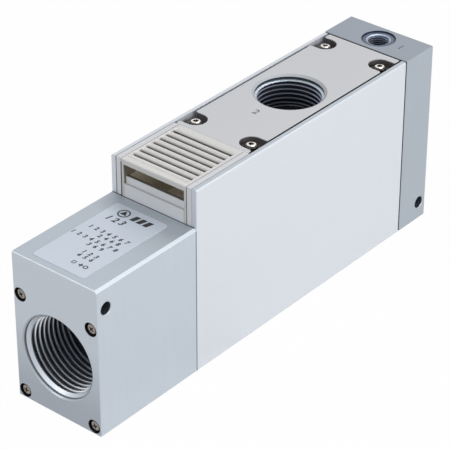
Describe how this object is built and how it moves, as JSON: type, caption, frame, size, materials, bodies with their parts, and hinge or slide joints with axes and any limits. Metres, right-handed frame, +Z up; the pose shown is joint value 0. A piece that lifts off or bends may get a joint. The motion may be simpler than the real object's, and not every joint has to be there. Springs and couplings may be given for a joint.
{
  "type": "vacuum ejector",
  "caption": "Long narrow vacuum ejector block with a threaded exhaust port at one end, a vacuum port and a supply port on top, and a louvred cover.",
  "frame": {"origin": "middle of the base, on the surface it rests on", "axes": "+X along the body towards the supply end, +Y across it, +Z up through the vacuum port"},
  "size_m": [0.194, 0.04, 0.077],
  "materials": {
    "anodised_body": "satin clear anodised extrusion",
    "anodised_block": "satin clear anodised, machined",
    "port_aluminium": "fine blasted and anodised",
    "screw_steel": "plated steel",
    "screen_steel": "woven stainless screen",
    "seal_rubber": "matt black rubber",
    "cream_resin": "moulded resin",
    "inner_resin": "moulded resin",
    "label_film": "satin printed film",
    "nozzle_brass": "turned",
    "diffuser_aluminium": "turned"
  },
  "bodies": {
    "root": {"body_extrusion": "anodised_body", "exhaust_block": "anodised_block", "supply_block": "anodised_block", "port_block": "port_aluminium", "filter_ring": "screw_steel", "filter_screen": "screen_steel", "exhaust_block_screws": "screw_steel", "supply_block_screws": "screw_steel", "port_block_screws": "screw_steel", "casing_screws": "screw_steel", "valve_screws": "screw_steel", "valve_clamps": "screw_steel", "exhaust_gasket": "seal_rubber", "supply_gasket": "seal_rubber", "port_block_gasket": "seal_rubber", "bulkhead_seal": "seal_rubber", "nozzle_seals": "seal_rubber", "second_valve_flap": "seal_rubber", "third_valve_flap": "seal_rubber", "label": "label_film", "casing": "cream_resin", "louvre_cover": "cream_resin", "blanking_insert": "cream_resin", "bulkhead": "inner_resin", "nozzle_holder": "inner_resin", "first_partition": "inner_resin", "second_partition": "inner_resin", "third_partition": "inner_resin", "nozzle_left": "nozzle_brass", "nozzle_right": "nozzle_brass", "first_diffuser_left": "diffuser_aluminium", "first_diffuser_right": "diffuser_aluminium", "second_diffuser_left": "diffuser_aluminium", "second_diffuser_right": "diffuser_aluminium", "third_diffuser_left": "diffuser_aluminium", "third_diffuser_right": "diffuser_aluminium", "second_valve_seat": "diffuser_aluminium", "third_valve_seat": "diffuser_aluminium"}
  },
  "joints": []
}
